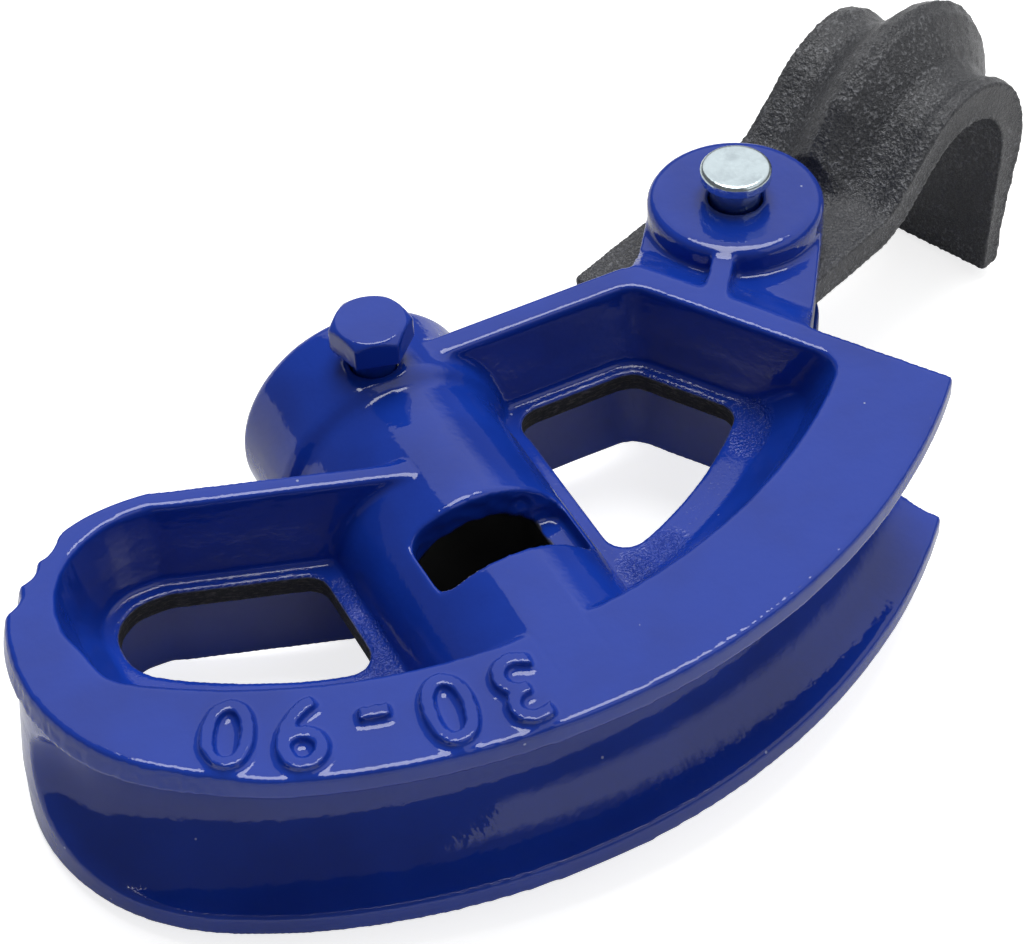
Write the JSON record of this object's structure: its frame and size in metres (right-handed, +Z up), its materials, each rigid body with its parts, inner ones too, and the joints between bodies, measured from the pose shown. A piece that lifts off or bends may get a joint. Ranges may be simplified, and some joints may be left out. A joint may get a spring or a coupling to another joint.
{
  "type": "pipe bender",
  "caption": "Cast bending shoe for steel pipe with a curved groove, a clamped handle socket, lightening windows and a swinging pipe hook on a pivot pin.",
  "frame": {"origin": "on the flat underside of the lower flange, below the axis of the handle socket", "axes": "+Y along the handle socket's axis, out of its mouth; +Z up, square to the plane of the bend; +X from the heel towards the nose and the pipe hook"},
  "size_m": [0.2325, 0.1378, 0.0601],
  "materials": {
    "blue_enamel": "gloss enamel over a sand casting",
    "black_cast_iron": "rough cast skin with a thin black coat",
    "zinc_plated_steel": "bright zinc plate",
    "painted_screw": "gloss enamel over steel, chipped at the corners"
  },
  "bodies": {
    "shoe": {"bending_shoe": "blue_enamel"},
    "hook": {"pipe_hook": "black_cast_iron"},
    "pin": {"hinge_pin": "zinc_plated_steel", "split_pin": "zinc_plated_steel"},
    "screw": {"clamp_screw": "painted_screw"}
  },
  "joints": [
    {"name": "hook_swing", "type": "hinge", "parent": "shoe", "child": "hook", "pos_m": [0.07676, 0.08582, 0.0195], "axis": [0, 0, 1], "range_deg": [-70, 0]},
    {"name": "pin_lift", "type": "slide", "parent": "shoe", "child": "pin", "axis": [0, 0, 1], "range_m": [-0.0037, 0]},
    {"name": "screw_travel", "type": "slide", "parent": "shoe", "child": "screw", "axis": [0, 0, 1], "range_m": [-0.003, 0.006]}
  ]
}
